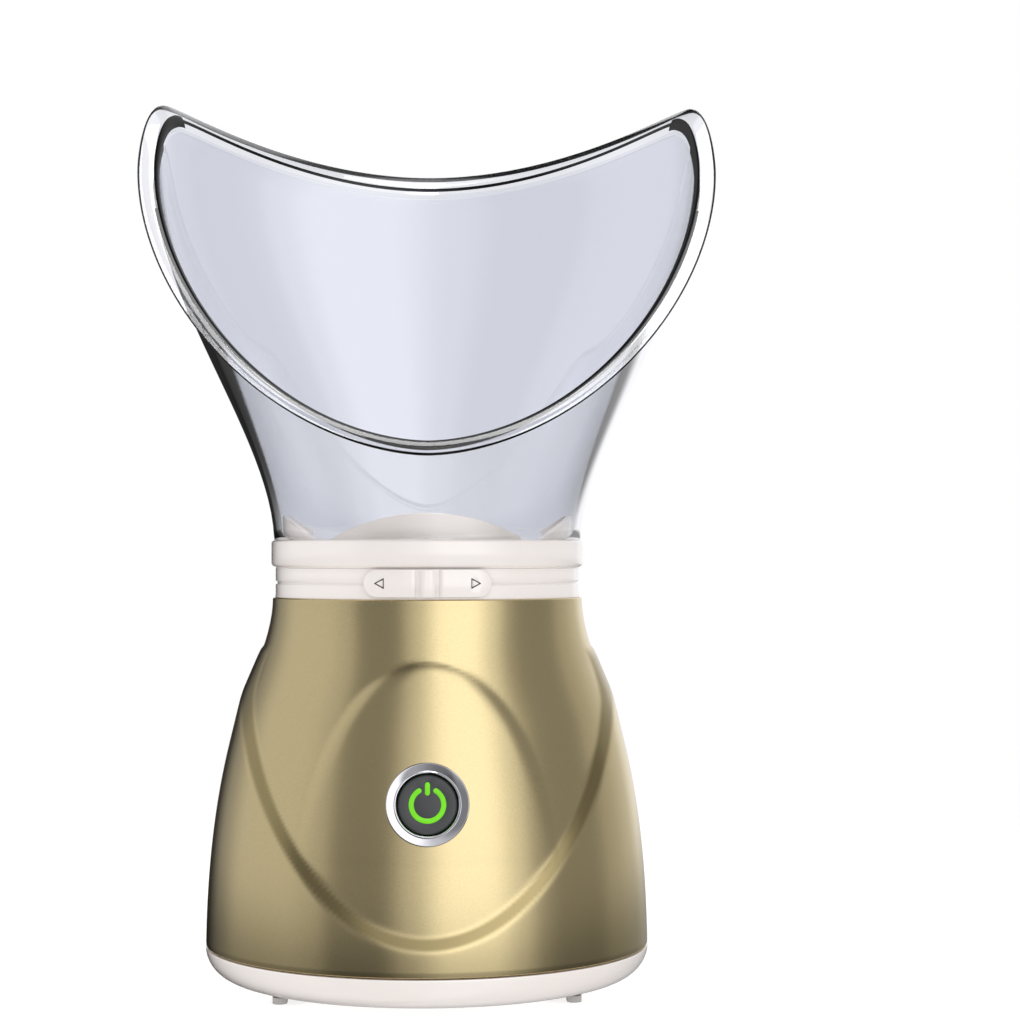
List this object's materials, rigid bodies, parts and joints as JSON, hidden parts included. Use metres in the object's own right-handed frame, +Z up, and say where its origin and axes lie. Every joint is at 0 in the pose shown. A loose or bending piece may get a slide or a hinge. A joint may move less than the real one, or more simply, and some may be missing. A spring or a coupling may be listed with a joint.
{
  "type": "facial steamer",
  "caption": "Facial steamer with a clear face mask, lift-off collar, rotating steam regulator, push button, boiler inside and a coiled mains lead.",
  "frame": {"origin": "on the floor under the middle of the body, where the feet stand", "axes": "+Z up, -Y towards the user and the button, +X to the user's right"},
  "size_m": [0.193, 0.2636, 0.2939],
  "materials": {
    "gold_metal": "satin champagne gold metallic",
    "ivory_plastic": "smooth warm white plastic",
    "grey_rubber": "matt light grey",
    "bright_steel": "brushed stainless steel",
    "cast_alloy": "die cast",
    "element_sheath": "heat-tinted sheath",
    "silicone": "translucent silicone",
    "black_plastic": "matt black",
    "black_pvc": "soft satin black PVC",
    "phenolic": "phenolic resin",
    "ceramic_white": "unglazed steatite",
    "chrome_trim": "polished chrome",
    "dark_cap": "dark grey satin",
    "green_light": "lit green lens",
    "clear_mask": "clear moulded plastic",
    "board_green": "glass-epoxy board",
    "tape_yellow": "polyester tape",
    "relay_blue": "moulded case",
    "can_sleeve": "shrunk sleeve",
    "terminal_green": "nylon",
    "wire_brown": "brown insulation",
    "wire_blue": "blue insulation",
    "wire_grey": "grey insulation",
    "plated_brass": "nickel-plated"
  },
  "bodies": {
    "base_unit": {"housing": "gold_metal", "base_cover": "ivory_plastic", "rubber_feet": "grey_rubber", "base_screws": "bright_steel", "neck_ring": "ivory_plastic", "water_tank": "bright_steel", "tank_gasket": "silicone", "clamp_ring": "ivory_plastic", "clamp_screws": "bright_steel", "heater_plate": "cast_alloy", "heating_element": "element_sheath", "heater_screws": "bright_steel", "thermostat": "phenolic", "thermal_fuse": "ceramic_white", "heat_shield": "bright_steel", "shield_spacers": "ceramic_white", "button_bezel": "chrome_trim", "bezel_nut": "black_plastic", "switch_body": "black_plastic", "button_led": "green_light", "main_board": "board_green", "board_screws": "bright_steel", "transformer": "tape_yellow", "relay": "relay_blue", "capacitor": "can_sleeve", "terminal_block": "terminal_green", "cord_clamp": "black_plastic", "cord_clamp_screws": "bright_steel", "strain_relief": "black_pvc", "heater_wire_live": "wire_brown", "heater_wire_neutral": "wire_blue", "switch_lead": "wire_grey", "power_cord": "black_pvc", "cord_coil": "black_pvc", "cord_tail": "black_pvc", "cord_tie": "black_plastic", "plug_body": "black_plastic", "plug_strain_relief": "black_pvc", "plug_pins": "plated_brass", "earth_contacts": "plated_brass"},
    "button": {"button_cap": "dark_cap", "power_symbol": "green_light", "button_spring": "bright_steel"},
    "regulator": {"shutter_ring": "ivory_plastic", "slider_plate": "ivory_plastic"},
    "vented_cover": {"steam_cover": "ivory_plastic"},
    "collar": {"mask_collar": "ivory_plastic"},
    "mask": {"mask": "clear_mask"}
  },
  "joints": [
    {"name": "button_press", "type": "slide", "parent": "base_unit", "child": "button", "axis": [0, 0.9877, -0.1564], "range_m": [0, 0.0012], "stiffness_N_per_m": 900, "springref_m": -0.001},
    {"name": "regulator_turn", "type": "hinge", "parent": "base_unit", "child": "regulator", "pos_m": [0, 0, 0.1304], "axis": [0, 0, 1], "range_deg": [-9, 9]},
    {"name": "steam_cover_lift", "type": "slide", "parent": "base_unit", "child": "vented_cover", "axis": [0, 0, 1], "range_m": [0, 0.03]},
    {"name": "collar_lift", "type": "slide", "parent": "base_unit", "child": "collar", "axis": [0, 0, 1], "range_m": [0, 0.05]},
    {"name": "mask_lift", "type": "slide", "parent": "collar", "child": "mask", "axis": [0, 0, 1], "range_m": [0, 0.05]}
  ]
}
